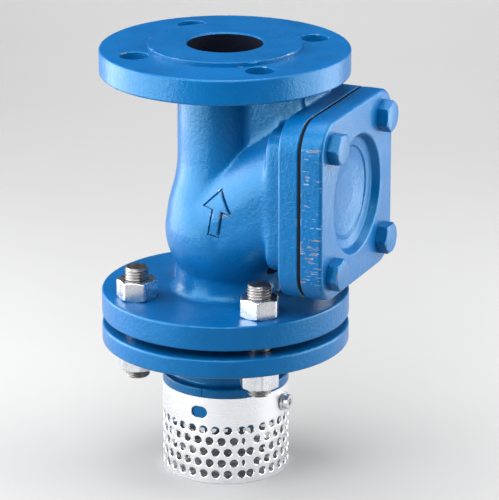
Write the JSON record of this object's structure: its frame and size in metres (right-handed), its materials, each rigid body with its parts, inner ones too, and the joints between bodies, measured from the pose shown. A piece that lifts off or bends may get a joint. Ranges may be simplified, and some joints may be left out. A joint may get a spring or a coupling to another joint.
{
  "type": "foot valve",
  "caption": "Flanged swing-check foot valve: blue cast body with inclined bulb and side cover, bolted to a flanged perforated steel suction strainer.",
  "frame": {"origin": "on the pipe axis, at the underside of the strainer", "axes": "+Z along the pipe axis towards the outlet flange, +X towards the cover"},
  "size_m": [0.185, 0.165, 0.293],
  "materials": {
    "blue_paint": "gloss enamel over a cast surface",
    "zinc_steel": "zinc plated",
    "stainless_steel": "cold rolled sheet and bar",
    "gasket_sheet": "compressed fibre and rubber sheet",
    "bronze": "turned",
    "facing_rubber": "moulded",
    "dark_steel": "cast and machined"
  },
  "bodies": {
    "housing": {"valve_body": "blue_paint", "cover": "blue_paint", "cover_gasket": "gasket_sheet", "cover_bolts": "blue_paint", "seat_ring": "bronze", "hinge_pin": "stainless_steel", "pin_clips": "stainless_steel", "hinge_bracket": "dark_steel", "bracket_screws": "stainless_steel", "flange_gasket": "gasket_sheet", "flange_studs": "zinc_steel", "upper_nuts": "zinc_steel", "lower_nuts": "zinc_steel", "strainer_flange": "blue_paint", "strainer_basket": "stainless_steel", "strainer_bottom": "stainless_steel", "strainer_washers": "stainless_steel", "strainer_screws": "stainless_steel"},
    "clapper": {"clapper_arm": "dark_steel", "arm_bushes": "bronze"},
    "disc": {"clapper_disc": "dark_steel", "clapper_facing": "facing_rubber", "retaining_plate": "stainless_steel", "facing_screw": "stainless_steel", "disc_washer": "stainless_steel", "disc_nut": "stainless_steel", "split_pin": "stainless_steel"}
  },
  "joints": [
    {"name": "clapper_swing", "type": "hinge", "parent": "housing", "child": "clapper", "pos_m": [0.03776, 0, 0.16394], "axis": [0, 1, 0], "range_deg": [0, 56]},
    {"name": "disc_turn", "type": "hinge", "parent": "clapper", "child": "disc", "pos_m": [0.002, 0, 0.149], "axis": [0.1045, 0, 0.9945], "continuous": true}
  ]
}
